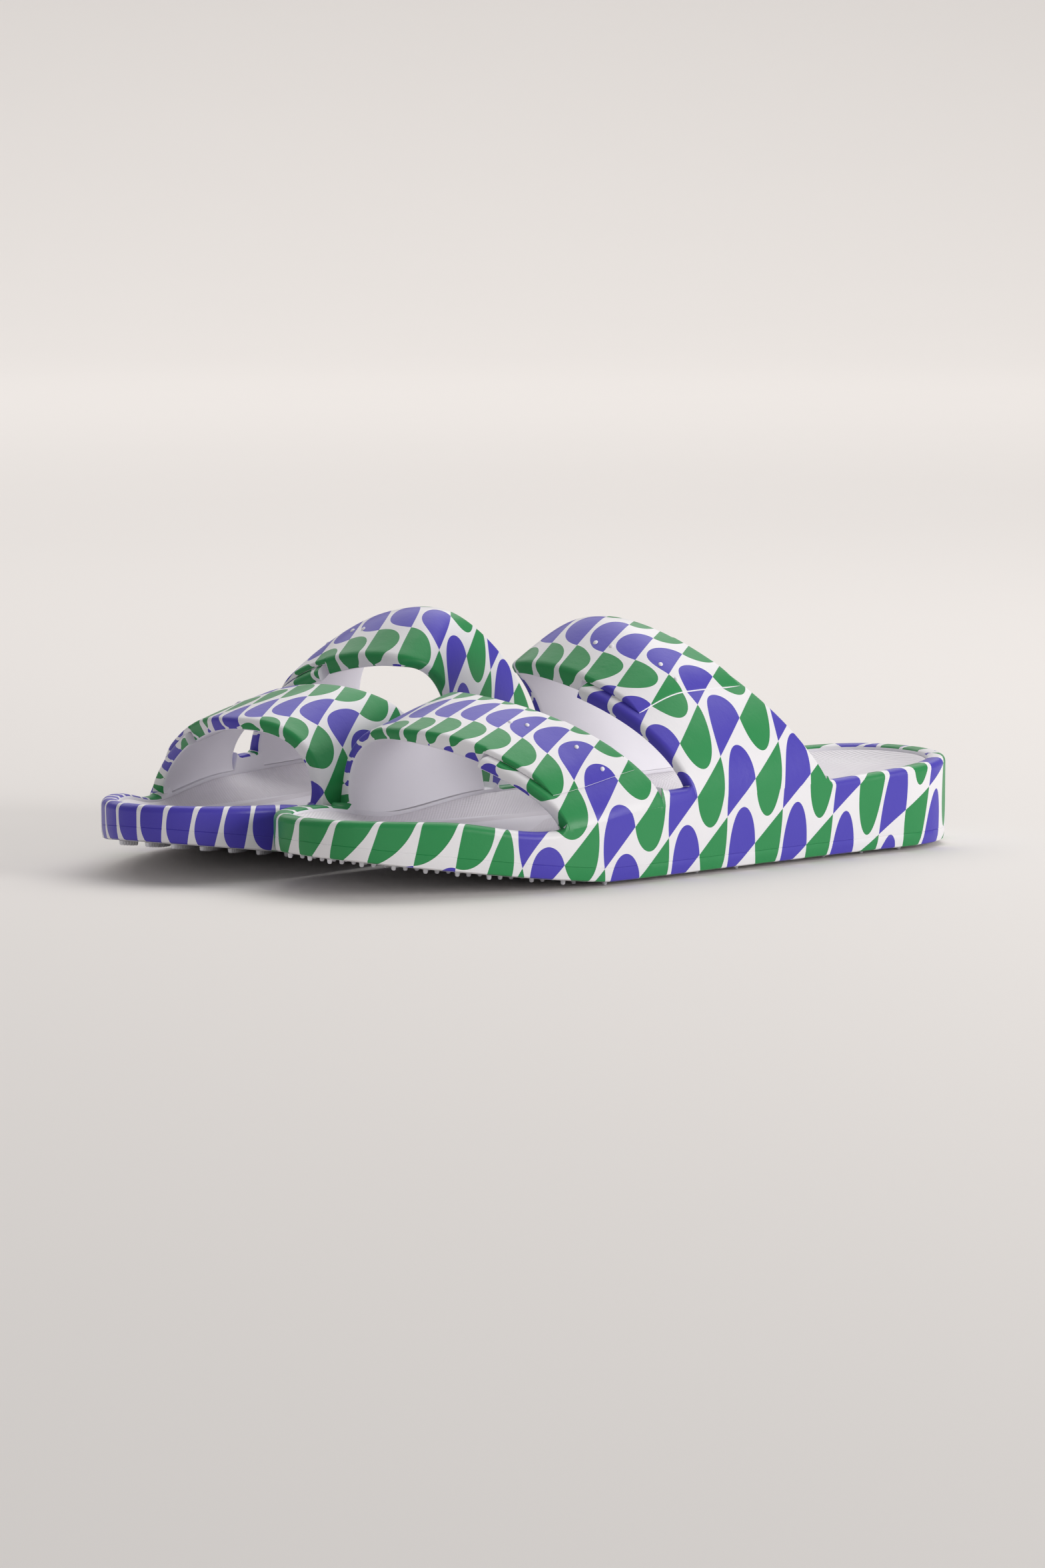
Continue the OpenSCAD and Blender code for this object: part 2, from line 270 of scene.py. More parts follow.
def film_wall(name, q, h):
    """The same on the wall, where q runs round the toe: there the rows turn upright."""
    grid = np.linspace(TOE_STARTS, WALL_LENGTH, WALL_STEPS)
    toe = smooth(TOE_STARTS, TOE_TURNED, grid) * (1 - smooth(TOE_LEAVES, TOE_ENDS, grid))
    i0, n0 = film_side(TOE_STARTS, FILM_Z)
    i1, n1 = film_side(TOE_STARTS + 1, FILM_Z)
    i2, n2 = film_side(TOE_STARTS, FILM_Z + 1)
    step = grid[1] - grid[0]
    i_rate = (i1 - i0) * (1 - toe)
    n_rate = (n1 - n0) * (1 - toe) - toe / ROW_AT_TOE[name]
    i_line = i0 + np.cumsum(i_rate) * step
    n_line = n0 + np.cumsum(n_rate) * step
    up_i = (i2 - i0) * (1 - toe) + toe * DROP_PER_MM_AT_TOE
    up_n = (n2 - n0) * (1 - toe) + toe * np.interp(grid, ROW_LEAN_FROM, ROW_LEAN_AT_TOE)
    turned = np.interp(TOE_TURNED, grid, i_line)
    i_line += toe * (DROP_AT_TOE[name] - turned % 1)
    round_i = np.interp(q, grid, i_line) + np.interp(q, grid, up_i) * (h - FILM_Z)
    round_n = np.interp(q, grid, n_line) + np.interp(q, grid, up_n) * (h - FILM_Z)
    side_i, side_n = film_side(q, h)
    return np.where(q < TOE_STARTS, side_i, round_i), np.where(q < TOE_STARTS, side_n, round_n)


def as_film(name, pair):
    phase = FILM_PHASE[name]
    return np.stack([pair[0] + phase[0], pair[1] + phase[1]], -1)


# ---- Mesh making ----

PRINTED, BARE = 0, 1


def new_object(name, mesh, materials):
    piece = bpy.data.objects.new(name, mesh)
    bpy.context.scene.collection.objects.link(piece)
    for material in materials:
        mesh.materials.append(material)
    return piece


def tidy(mesh, sharp=38):
    work = bmesh.new()
    work.from_mesh(mesh)
    bmesh.ops.recalc_face_normals(work, faces=work.faces)
    work.to_mesh(mesh)
    work.free()
    mesh.polygons.foreach_set("use_smooth", [True] * len(mesh.polygons))
    mesh.set_sharp_from_angle(angle=math.radians(sharp))
    mesh.update()


def loft(name, points, film, skin, materials, extra=None):
    """Closed mesh from rings of points (rings, around, 3), capped at both ends.

    film is (rings, around + 1, 2) and skin (rings - 1, around) picks each face's material.
    extra is a list of (vertices, faces) with the second material, such as pegs.
    """
    rings, around = points.shape[:2]
    middle = np.stack([points[0].mean(0), points[-1].mean(0)])
    vertices = np.concatenate([points.reshape(-1, 3), middle])
    r, k = np.meshgrid(np.arange(rings - 1), np.arange(around), indexing="ij")
    after = (k + 1) % around
    corners = [(r, k), (r, after), (r + 1, after), (r + 1, k)]
    quads = np.stack([i * around + j for i, j in corners], -1).reshape(-1, 4)
    uv = np.stack([film[r, k], film[r, k + 1], film[r + 1, k + 1], film[r + 1, k]], 2)
    j = np.arange(around)
    first = np.stack([(j + 1) % around, j, np.full(around, rings * around)], -1)
    last = first + (rings - 1) * around
    last[:, 2] = rings * around + 1
    faces = quads.tolist() + first.tolist() + last.tolist()
    kinds = skin.ravel().tolist() + [BARE] * (2 * around)
    loops = [uv.reshape(-1, 2), np.zeros((6 * around, 2))]
    vertices = vertices.tolist()
    for more_vertices, more_faces in extra or []:
        start = len(vertices)
        vertices += more_vertices
        faces += [[start + i for i in face] for face in more_faces]
        kinds += [BARE] * len(more_faces)
        loops.append(np.zeros((sum(len(face) for face in more_faces), 2)))
    mesh = bpy.data.meshes.new(name)
    mesh.from_pydata(vertices, [], faces)
    layer = mesh.uv_layers.new(name="film")
    layer.data.foreach_set("uv", np.concatenate(loops).ravel())
    mesh.polygons.foreach_set("material_index", kinds)
    tidy(mesh)
    return new_object(name, mesh, materials)


def closed(values):
    """Adds the first column again at the end."""
    return np.concatenate([values, values[:, :1]], 1)


# ---- Sole ----

AROUND = 300
EDGE_TUCK = 1.2
SEAM, PARTING_LIFT = 0.13, 0.05
SKIN = 0.05
RIM_ROUND = 2.2
FILLET = 3.5
WEB, WEB_FILLET = 4.6, 0.75
UNDER_STRAP, RIM_LIFT = 0.3, 0.05
LOW_WALL_SHARES, WALL_RINGS = (0.3, 0.6, 1), 7
FIRST_WALL_RING = 2
# The rim rounds over by these angles, then falls by these heights at shares of its width
RIM_TURNS = (20, 40, 60, 80, 90)
RIM_DROPS = ((0.6, 0.05), (0.86, 0.35), (0.97, 1.0), (1, 1.8))
# A stud shows slimmer than the CAD peg; each level is its share of the radius and the height
STUD_SLIM, STUD_SIDES = 0.65, 12
STUD_LEVELS = ((1.1, 0), (1, 0.25), (0.92, 0.7), (0.7, 0.92), (0.35, 1))


def feet_of(strap, side):
    a = 0 if side > 0 else 180
    return edge(strap, np.float64(a), 1), edge(strap, np.float64(a), 0)


def under_straps(u, side):
    """How far inside a strap's foot each point of the rim is; below 0 outside it."""
    depth = np.full(u.shape, -1e3)
    for strap in STRAPS.values():
        for s in (1, -1):
            back, front = feet_of(strap, s)
            inside = np.minimum(u - back, front - u)
            depth = np.where(side == s, np.maximum(depth, inside), depth)
    return depth


def rim_rise(u, side):
    """The rim curves up into each strap, and stands higher between the two outer feet."""
    inside = under_straps(u, side)
    reach = np.clip((inside + FILLET) / FILLET, 0, 1)
    rise = FILLET * (1 - np.sqrt(1 - reach**2))
    gap_back = feet_of(STRAPS["instep"], 1)[1]
    gap_front = feet_of(STRAPS["toe"], 1)[0]
    between = (side > 0) & (u > gap_back - 1) & (u < gap_front + 1)
    rise = np.where(between, WEB + WEB_FILLET * rise, rise)
    return np.where(inside > UNDER_STRAP, RIM_LIFT, np.maximum(rise, RIM_LIFT))


def face_at(u, side, height):
    """Where the straps' outer face lies at a height above the rim, as v."""
    share = u / SOLE_LENGTH
    power = 2 / np.where(side > 0, curve(FLANK_AT, FLANK_OUTER, share),
                         curve(FLANK_AT, FLANK_INNER, share))
    foot = side * half_width(u, side)
    ridge = curve(RIDGE_SIDE_AT, RIDGE_SIDE, share)
    tall = curve(RIDGE_AT, RIDGE_HEIGHTS, share) - rim_z(u)
    up = np.clip(height / tall, 0, 1) ** (1 / power)
    return ridge + (foot - ridge) * np.sqrt(1 - up**2) ** power


def ring(margin, base, lift):
    """One ring of the sole: inset by margin, at the height base(u) + lift."""
    u, v, side = outline(AROUND, margin)
    return u, v, base(u) + lift, side


def around_length(name):
    """How far round the wall each point of a ring lies, from the side that faces the camera."""
    u, v, side = outline(AROUND, 0)
    step = np.hypot(np.diff(u, append=u[0]), np.diff(v, append=v[0]))
    if name == "right":
        step = step[::-1]
    q = np.concatenate([[0], np.cumsum(step)])
    there = u if name == "left" else np.roll(u[::-1], 1)
    q -= np.interp(FILM_U, there[:AROUND], q[:AROUND]) - FILM_U
    return q if name == "left" else q[::-1]


def wall_film(name, heights):
    """Film of the rings from the height that each point has up the wall."""
    q = np.broadcast_to(around_length(name), (len(heights), 2 * AROUND + 1))
    return as_film(name, film_wall(name, q, closed(heights)))


def sole_rings(name, profile):
    rows = [ring(*entry) for entry in profile]
    points = np.stack([place(name, u, v, z) for u, v, z, _ in rows])
    return points, np.stack([z for _, _, z, _ in rows])


def outsole(name, materials):
    edge_in = SKIN + 0.35
    profile = [
        (34, plate_z, 0), (20, plate_z, 0), (8, plate_z, 0), (SKIN + 2 * EDGE_TUCK, plate_z, 0),
        (SKIN + EDGE_TUCK, plate_z, 0.12), (edge_in + 0.15, plate_z, 0.5),
        (edge_in, plate_z, EDGE_TUCK), (SKIN + 0.1, plate_z, 2.6),
        (SKIN, plate_z, OUTSOLE_T - SEAM), (SKIN + SEAM, plate_z, OUTSOLE_T + PARTING_LIFT),
        (8, plate_z, OUTSOLE_T + PARTING_LIFT),
    ]
    points, z = sole_rings(name, profile)
    skin = np.full((len(profile) - 1, 2 * AROUND), BARE)
    skin[4:9] = PRINTED
    film = wall_film(name, z - STUD_H)
    return loft(name + "_outsole_plate", points, film, skin, materials, studs(name))


def peg_faces(levels, sides):
    """Faces of a closed peg whose points come in rings, one for each level."""
    faces = []
    for level in range(levels - 1):
        for k in range(sides):
            after = (k + 1) % sides
            at = level * sides
            faces.append([at + k, at + after, at + sides + after, at + sides + k])
    faces.append([(levels - 1) * sides + k for k in range(sides)])
    faces.append([k for k in reversed(range(sides))])
    return faces


def stud(name, u, v):
    """A short round peg under the sole with a rounded end."""
    turns = np.linspace(0, 2 * np.pi, STUD_SIDES, endpoint=False)
    points = []
    for wide, down in STUD_LEVELS:
        radius = STUD_R * STUD_SLIM * wide
        points += place(name, u + radius * np.cos(turns), v + radius * np.sin(turns),
                        plate_z(u) - STUD_H * down).tolist()
    return points, peg_faces(len(STUD_LEVELS), STUD_SIDES)


def studs(name):
    made = []
    row_step = STUD_PITCH * math.sin(math.radians(60))
    widest = int(BALL_OUTER / STUD_PITCH) + 2
    for row in range(1, int(SOLE_LENGTH / row_step) + 1):
        u = row * row_step
        shift = 0 if row % 2 == 0 else STUD_PITCH / 2
        for k in range(-widest, widest + 1):
            v = k * STUD_PITCH + shift
            inside = -half_width(u, -1) + STUD_MARGIN < v < half_width(u, 1) - STUD_MARGIN
            if inside and STUD_MARGIN < u < SOLE_LENGTH - STUD_MARGIN:
                made.append(stud(name, u, v))
    return made


def wall_rows(u, v, side, rise, rounding):
    """The wall from the parting line up to where the rim starts to round over."""
    bottom = plate_z(u) + OUTSOLE_T + PARTING_LIFT + SEAM
    top = rim_z(u)
    rows = []
    for share in LOW_WALL_SHARES:
        rows.append((u, v, bottom + (top - RIM_ROUND - bottom) * share, side))
    for share in np.linspace(0, 1, WALL_RINGS):
        z = top - RIM_ROUND + (rise + RIM_ROUND - rounding) * share
        height = np.clip(z - top, 0, None)
        v_here = np.where(height > 0, v + face_at(u, side, height) - face_at(u, side, 0), v)
        rows.append((u, v_here, z, side))
    return rows


def rim_rows(u, v, side, crest, rounding):
    """The rim from the top of the wall over to its inner edge."""
    u_in, v_in, _ = outline(AROUND, RIM_W)
    wide = np.hypot(u_in - u, v_in - v)
    rows = []
    for turned in RIM_TURNS:
        angle = math.radians(turned)
        share = rounding * (1 - math.cos(angle)) / wide
        z = crest - rounding * (1 - math.sin(angle))
        rows.append((u + (u_in - u) * share, v + (v_in - v) * share, z, side))
    for share, drop in RIM_DROPS:
        rows.append((u + (u_in - u) * share, v + (v_in - v) * share,
                     crest - drop * np.minimum(1, 0.2 + rounding / RIM_ROUND), side))
    return rows


def climbed(flat):
    """Height of each ring's points as counted along the wall and over the rim."""
    steps = np.linalg.norm(np.diff(flat, axis=0), axis=-1)
    along = np.concatenate([0 * steps[:1], np.cumsum(steps, 0)])
    heights = flat[FIRST_WALL_RING, :, 2] - STUD_H + along
    heights -= heights[FIRST_WALL_RING] - flat[FIRST_WALL_RING, :, 2] + STUD_H
    return heights


def midsole(name, materials):
    """Wall, rounded rim and the bed's edge, as rings from the underside to the bed."""
    low_z = OUTSOLE_T + PARTING_LIFT
    u, v, side = outline(AROUND, SKIN)
    rise = rim_rise(u, side)
    rounding = RIM_ROUND * (1 - smooth(-FILLET, UNDER_STRAP, under_straps(u, side))) + 0.04
    rows = [ring(8, plate_z, low_z), ring(SKIN + SEAM, plate_z, low_z),
            ring(SKIN, plate_z, low_z + SEAM)]
    rows += wall_rows(u, v, side, rise, rounding)
    rows += rim_rows(u, rows[-1][1], side, rim_z(u) + rise, rounding)
    printed_to = len(rows) - 2
    for margin, drop in ((RIM_W, 0), (RIM_W, FOOTBED_T), (12, FOOTBED_T)):
        rows.append(ring(margin, rim_z, -FOOTBED_DROP - drop))
    points = np.stack([place(name, *row[:3]) for row in rows])
    heights = climbed(np.stack([np.stack(row[:3], -1) for row in rows]))
    skin = np.full((len(rows) - 1, 2 * AROUND), BARE)
    skin[1:printed_to] = PRINTED
    # Inside a strap the rim's inner face is plain
    skin[printed_to - 4:, under_straps(u, side) > -1] = BARE
    return loft(name + "_midsole_wall", points, wall_film(name, heights), skin, materials)


def footbed(name, materials):
    edge_in = RIM_W + 0.2
    profile = [
        (30, rim_z, -FOOTBED_DROP - FOOTBED_T + 0.1),
        (edge_in, rim_z, -FOOTBED_DROP - FOOTBED_T + 0.1),
        (edge_in, rim_z, -FOOTBED_DROP + 1.9), (edge_in + 0.5, rim_z, -FOOTBED_DROP + 2.1),
        (edge_in + 1.6, rim_z, -FOOTBED_DROP + 1.9), (edge_in + 4, rim_z, -FOOTBED_DROP + 1.1),
        (14, rim_z, -FOOTBED_DROP + 0.4), (20, rim_z, -FOOTBED_DROP - 0.2),
        (28, rim_z, -FOOTBED_DROP - 0.45), (36, rim_z, -FOOTBED_DROP - 0.5),
    ]
    rows = [ring(*entry) for entry in profile]
    points = np.stack([place(name, u, v, z) for u, v, z, _ in rows])
    plan = np.stack([np.stack([u, v], -1) for u, v, _, _ in rows])
    skin = np.full((len(profile) - 1, 2 * AROUND), PRINTED)
    return loft(name + "_footbed_sheet", points, closed(plan), skin, materials)


# ---- Straps ----

LOWER_ROWS, UPPER_ROWS = 60, 120
FACE_STEPS, INSIDE_STEPS = 30, 16
OUTER_ROUND, INSIDE_ROUND = 1.5, 1.1
BUTT_STEP = 1.5
FOOT_SPREAD = 2
LAP_FADE = 9
LAP_BLEND = 40
LAP_THIN = 0.3
FOOT_FADE = 5
EDGE_FADE = (-4, 14)

# Each level of a pip is its share of the radius and of the height
PIP_R, PIP_H, PIP_SIDES = 0.8, 0.5, 10
PIP_LEVELS = ((1, -0.3), (1, 0.3), (0.8, 0.75), (0.4, 1))


def even_angles(start, end, count, u):
    """Angles between two ends that lie evenly along the section."""
    dense = np.linspace(start, end, 900)
    v, z = flank(np.full(900, float(u)), dense)
    along = np.concatenate([[0], np.cumsum(np.hypot(np.diff(v), np.diff(z)))])
    return np.interp(np.linspace(0, along[-1], count), along, dense)


def lap_rise(a, joint):
    """How far the inner band's face stands out as it nears the lap."""
    t = np.clip((joint + LAP_BLEND - a) / LAP_BLEND, 0, 1)
    return LAP_T * t * t * (3 - 2 * t)


def section(width, thick, outer_round):
    """Loop round a strap: distance from the front edge, depth under the face, and the film's
    own run past each edge. Also says which part of the loop is printed."""
    outer = np.minimum(outer_round, 0.42 * thick)
    inner = np.minimum(INSIDE_ROUND, 0.35 * thick)
    across, depth, run, printed = [], [], [], []

    def add(e, d, r, p):
        across.append(e + 0 * width)
        depth.append(d + 0 * width)
        run.append(r + 0 * width)
        printed.append(p)

    for k in range(FACE_STEPS + 1):
        add(outer + (width - 2 * outer) * k / FACE_STEPS, 0, 0, True)
    for turned in (18, 36, 54, 72, 90):
        t = math.radians(turned)
        add(width - outer + outer * math.sin(t), outer * (1 - math.cos(t)),
            -outer * (t - math.sin(t)), True)
    bend = outer * (math.pi / 2 - 1)
    add(width, (outer + thick - inner) / 2, -bend - (thick - inner - outer) / 2, True)
    add(width, thick - inner, -bend - (thick - inner - outer), True)
    for turned in (30, 60, 90):
        t = math.radians(turned)
        add(width - inner + inner * math.cos(t), thick - inner + inner * math.sin(t),
            -bend - (thick - outer), turned < 60)
    for k in range(1, INSIDE_STEPS):
        add(width - inner - (width - 2 * inner) * k / INSIDE_STEPS, thick, 0, False)
    for turned in (0, 30, 60, 90):
        t = math.radians(turned)
        add(inner - inner * math.sin(t), thick - inner + inner * math.cos(t),
            bend + (thick - outer), turned >= 60)
    add(0, (outer + thick - inner) / 2, bend + (thick - inner - outer) / 2, True)
    for turned in (90, 72, 54, 36, 18):
        t = math.radians(turned)
        add(outer - outer * math.sin(t), outer * (1 - math.cos(t)),
            outer * (t - math.sin(t)), True)
    return np.stack(across, 1), np.stack(depth, 1), np.stack(run, 1), np.array(printed)


def band(name, label, strap, angles, top, bottom, margin, materials, extra=None):
    """A strap band: one section loop at each angle, from its foot to its end. Its edges are
    rounded less near the foot, and the butt end at the lap joint isn't printed."""
    base = angles[0]
    along = climb(np.full(len(angles), strap_middle(strap, base)), angles, base)
    outer_round = OUTER_ROUND * smooth(*EDGE_FADE, along)
    front = edge(strap, angles, 0) - margin
    back = edge(strap, angles, 1) + margin
    across, depth, run, printed = section(front - back, top - bottom, outer_round)
    u = front[:, None] - across
    a = np.broadcast_to(angles[:, None], u.shape)
    v, z = vamp(u, a, top[:, None] - depth)
    start = 0 if name == "left" else 180
    height = rim_z(u) - STUD_H + climb(u, a, start)
    drops, rows = film_side(u + run, squeezed(strap, height))
    shift = strap["shift"][name] * smooth(strap["squeeze"][0], sum(strap["squeeze"][:2]), height)
    film = as_film(name, (drops + shift, rows))
    skin = np.where(printed & np.roll(printed, -1), PRINTED, BARE)
    step = np.abs(np.diff(top - bottom)) > BUTT_STEP
    skin = np.where(step[:, None] & (depth[:-1] > OUTER_ROUND), BARE, skin)
    return loft(name + label, place(name, u, v, z), closed(film), skin, materials, extra)


def strap_middle(strap, a):
    """Where the middle of a strap lies, halfway between its foot at a and the ridge."""
    at = (edge(strap, np.float64(a), 0) + edge(strap, np.float64(a), 1)) / 2
    over = (edge(strap, np.float64(90), 0) + edge(strap, np.float64(90), 1)) / 2
    return float(at + over) / 2


def pip(name, u, a, top):
    """A small unprinted peg that stands on a strap's face."""
    turns = np.linspace(0, 2 * np.pi, PIP_SIDES, endpoint=False)
    mm_per_degree = float(climb(np.float64(u), np.float64(a + 1), a - 1)) / 2
    points = []
    for wide, up in PIP_LEVELS:
        u_here = u + PIP_R * wide * np.cos(turns)
        a_here = a + PIP_R * wide * np.sin(turns) / mm_per_degree
        v, z = vamp(u_here, a_here, top + PIP_H * up)
        points += place(name, u_here, v, z).tolist()
    return points, peg_faces(len(PIP_LEVELS), PIP_SIDES)


def lower_band(name, label, strap, materials):
    middle = (strap["front"][0] + strap["front"][1]) / 2 * SOLE_LENGTH - strap["width"][0] / 2
    angles = even_angles(0, strap["joint"] - 0.5, LOWER_ROWS, middle)
    top = 0 * angles
    foot = climb(np.full(len(angles), middle), angles, 0)
    bottom = -STRAP_T - FOOT_SPREAD * np.exp(-foot / FOOT_FADE)
    return band(name, label, strap, angles, top, bottom, 0, materials)


def upper_band(name, label, strap, materials):
    middle = strap["front"][1] * SOLE_LENGTH - strap["width"][1] / 2
    joint, end = strap["joint"], strap["end"]
    over = even_angles(180, joint + 1.5, UPPER_ROWS, middle)
    lap = even_angles(joint + 1.2, end, UPPER_ROWS // 3, middle)
    left_over = climb(np.full(len(lap), middle), lap, 0) - climb(middle, np.float64(end), 0)
    ending = np.clip(left_over / LAP_FADE, 0, 1)
    angles = np.concatenate([over, lap])
    foot = climb(np.full(len(over), middle), over, 180)
    over_bottom = -STRAP_T - FOOT_SPREAD * np.exp(-foot / FOOT_FADE)
    lap_top = LAP_THIN + (LAP_T - LAP_THIN) * np.sin(ending * np.pi / 2)
    top = np.concatenate([lap_rise(over, joint), np.minimum(lap_rise(lap, joint), lap_top)])
    bottom = np.concatenate([over_bottom, 0 * lap + 0.05])
    pegs = [pip(name, u, a, np.interp(-a, -angles, top)) for u, a in strap["pips"]]
    return band(name, label, strap, angles, top, bottom, LAP_MARGIN, materials, pegs)


# ---- Materials ----

# Each surface goes from its own colour to the second one in soft patches; the paler violet and
# green are painted sheen
VIOLET, VIOLET_PAINTED_SHEEN = (76, 66, 178), (90, 82, 184)
GREEN, GREEN_PAINTED_SHEEN = (44, 138, 78), (66, 152, 96)
PRINT_WHITE, PRINT_SHADE = (234, 232, 235), (227, 224, 229)
BARE_WHITE, BARE_SHADE = (238, 236, 241), (233, 230, 237)
BED_WHITE, BED_SHADE = (234, 231, 235), (224, 219, 226)
RUBBER_WHITE, RUBBER_SHADE = (226, 226, 230), (214, 213, 220)
# Painted shade for the footbed's grooves
PAINTED_GROOVE_SHADE = (150, 146, 158)
FLOOR, FLOOR_SHADE = (236, 232, 229), (230, 226, 223)


def linear(colour):
    """sRGB numbers from 0 to 255 as a linear colour."""
    shares = [c / 255 for c in colour]
    return [c / 12.92 if c <= 0.04045 else ((c + 0.055) / 1.055) ** 2.4 for c in shares] + [1]


class Nodes:
    """Short calls for building one material."""

    def __init__(self, name):
        self.material = bpy.data.materials.new(name)
        self.material.use_nodes = True
        self.tree = self.material.node_tree
        self.shader = self.tree.nodes["Principled BSDF"]

    def put(self, socket, value):
        if isinstance(value, bpy.types.NodeSocket):
            self.tree.links.new(value, socket)
        else:
            socket.default_value = value

    def maths(self, kind, a, b=0.0, clamp=False):
        node = self.tree.nodes.new("ShaderNodeMath")
        node.operation = kind
        node.use_clamp = clamp
        self.put(node.inputs[0], a)
        self.put(node.inputs[1], b)
        return node.outputs[0]

    def noise(self, where, scale, detail=3.0, roughness=0.5):
        node = self.tree.nodes.new("ShaderNodeTexNoise")
        self.put(node.inputs["Vector"], where)
        node.inputs["Scale"].default_value = scale
        node.inputs["Detail"].default_value = detail
        node.inputs["Roughness"].default_value = roughness
        return node.outputs["Fac"]

    def mix(self, share, a, b):
        node = self.tree.nodes.new("ShaderNodeMix")
        node.data_type = "RGBA"
        self.put(node.inputs["Factor"], share)
        self.put(node.inputs["A"], a)
        self.put(node.inputs["B"], b)
        return node.outputs["Result"]

    def between(self, value, low, high):
        """Stretches a 0 to 1 value over low to high."""
        return self.maths("ADD", self.maths("MULTIPLY", value, high - low), low)

    def place(self):
        return self.tree.nodes.new("ShaderNodeTexCoord").outputs["Object"]

    def film(self):
        node = self.tree.nodes.new("ShaderNodeUVMap")
        node.uv_map = "film"
        return node.outputs["UV"]

    def split(self, vector):
        node = self.tree.nodes.new("ShaderNodeSeparateXYZ")
        self.put(node.inputs[0], vector)
        return node.outputs

    def bump(self, height, distance, strength=1.0, under=None):
        node = self.tree.nodes.new("ShaderNodeBump")
        node.inputs["Strength"].default_value = strength
        node.inputs["Distance"].default_value = distance * MM
        self.put(node.inputs["Height"], height)
        if under is not None:
            self.put(node.inputs["Normal"], under)
        return node.outputs["Normal"]

    def finish(self, colour, roughness, normal, specular=0.5):
        self.put(self.shader.inputs["Base Color"], colour)
        self.put(self.shader.inputs["Roughness"], roughness)
        self.put(self.shader.inputs["Normal"], normal)
        self.shader.inputs["Specular IOR Level"].default_value = specular
        return self.material


def drop_outline(n, t):
    """How tall a drop is at the share t of its straight side: round, and fuller at the start."""
    arch = n.maths("SQRT", n.maths("MAXIMUM", n.maths(
        "MULTIPLY", n.maths("MULTIPLY", t, 4), n.maths("SUBTRACT", 1, t)), 0))
    lean = n.maths("SUBTRACT", 1 + DROP_LEAN / 2, n.maths("MULTIPLY", t, DROP_LEAN))
    return n.maths("MULTIPLY", n.maths("MULTIPLY", arch, lean), DROP_SHARE)


def print_material():
    n = Nodes("printed_shell_film")
    i, row, _ = n.split(n.film())
    share = n.maths("FRACT", i)
    above = n.maths("FRACT", n.maths("MULTIPLY", row, -1))
    below = n.maths("SUBTRACT", 1, above)
    first = n.maths("MULTIPLY", share, 2)
    second = n.maths("SUBTRACT", first, 1)
    violet = n.maths("LESS_THAN", above, drop_outline(n, first))
    violet = n.maths("MULTIPLY", violet, n.maths("LESS_THAN", share, 0.5))
    green = n.maths("LESS_THAN", below, drop_outline(n, n.maths("SUBTRACT", 1, second)))
    green = n.maths("MULTIPLY", green, n.maths("GREATER_THAN", share, 0.5))
    spot = n.place()
    cloud = n.noise(spot, 55, 2)
    # Painted sheen in soft random patches: the violet and green turn paler there, and the white
    # turns a little greyer
    sheen_and_tone_patches = n.between(cloud, 0.0, 0.16)
    violets = n.mix(sheen_and_tone_patches, linear(VIOLET), linear(VIOLET_PAINTED_SHEEN))
    greens = n.mix(sheen_and_tone_patches, linear(GREEN), linear(GREEN_PAINTED_SHEEN))
    whites = n.mix(sheen_and_tone_patches, linear(PRINT_WHITE), linear(PRINT_SHADE))
    colour = n.mix(green, n.mix(violet, whites, violets), greens)
    wrinkle = n.bump(n.noise(spot, 130, 4, 0.6), 0.32, 0.6)
    fine = n.bump(n.noise(spot, 1400, 2), 0.02, 0.5, wrinkle)
    return n.finish(colour, n.between(cloud, 0.28, 0.42), fine, 0.28)


def bare_material():
    n = Nodes("printed_shell_bare")
    spot = n.place()
    cloud = n.noise(spot, 40, 2)
    colour = n.mix(cloud, linear(BARE_WHITE), linear(BARE_SHADE))
    soft = n.bump(n.noise(spot, 90, 3), 0.15, 0.4)
    fine = n.bump(n.noise(spot, 1800, 2), 0.02, 0.5, soft)
    return n.finish(colour, n.between(cloud, 0.42, 0.55), fine, 0.4)


RIB_PITCH = 1.25
DOTS_FROM, DOTS_FADE = 80, 30


def footbed_material():
    """Fine ribs across the heel, which turn to fine dots towards the toes, with painted shade
    darkening their grooves.
    """
    n = Nodes("footbed_foam_grain")
    u, v, _ = n.split(n.film())
    spot = n.place()
    turn_u = n.maths("SINE", n.maths("MULTIPLY", u, 2 * math.pi / RIB_PITCH))
    turn_v = n.maths("SINE", n.maths("MULTIPLY", v, 2 * math.pi / RIB_PITCH))
    ribs = n.between(turn_u, 0.5, 1.0)
    dots = n.between(n.maths("MULTIPLY", turn_u, turn_v), 0.5, 1.0)
    to_toe = n.maths("DIVIDE", n.maths("SUBTRACT", u, DOTS_FROM), DOTS_FADE, clamp=True)
    height = n.maths("ADD", n.maths("MULTIPLY", dots, to_toe),
                     n.maths("MULTIPLY", ribs, n.maths("SUBTRACT", 1, to_toe)))
    cloud = n.noise(spot, 60, 3)
    colour = n.mix(cloud, linear(BED_WHITE), linear(BED_SHADE))
    # Painted shade: the grooves between the ribs and dots are darkened towards grey
    shade = n.mix(n.between(height, 0.12, 0.0), colour, linear(PAINTED_GROOVE_SHADE))
    coarse = n.bump(height, 0.22, 0.6)
    fine = n.bump(n.noise(spot, 1500, 2), 0.02, 0.5, coarse)
    return n.finish(shade, n.between(cloud, 0.5, 0.62), fine, 0.35)


def rubber_material():
    n = Nodes("outsole_foam_white")
    spot = n.place()
    cloud = n.noise(spot, 70, 3)
    colour = n.mix(cloud, linear(RUBBER_WHITE), linear(RUBBER_SHADE))
    fine = n.bump(n.noise(spot, 900, 3), 0.04, 0.6)
    return n.finish(colour, n.between(cloud, 0.42, 0.58), fine, 0.4)


# ---- Floor, light and camera ----

